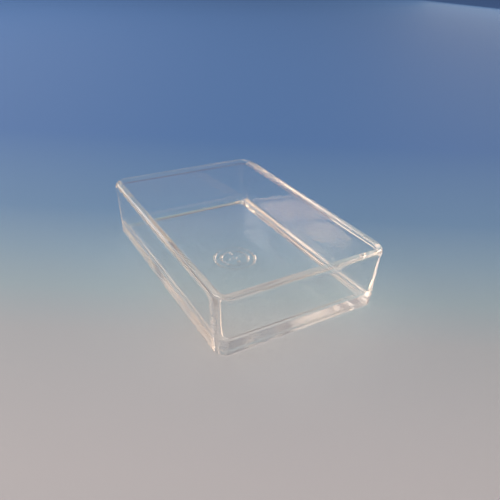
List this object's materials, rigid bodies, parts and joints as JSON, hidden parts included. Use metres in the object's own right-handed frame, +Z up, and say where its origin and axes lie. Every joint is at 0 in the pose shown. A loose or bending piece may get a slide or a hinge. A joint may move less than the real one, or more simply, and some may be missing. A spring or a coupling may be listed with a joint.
{
  "type": "rectangular glass laboratory tank",
  "caption": "Open rectangular tank in clear pressed glass, with slightly flared walls, a beaded rim, rounded corners and a thick floor.",
  "frame": {"origin": "centre of the base, on the plane that the tank stands on", "axes": "+X along the long side, +Y along the short side, +Z up, out of the open top"},
  "size_m": [0.18, 0.122, 0.042],
  "materials": {
    "clear_glass": "clear, fire-polished"
  },
  "bodies": {
    "root": {"glass_tank": "clear_glass"}
  },
  "joints": []
}
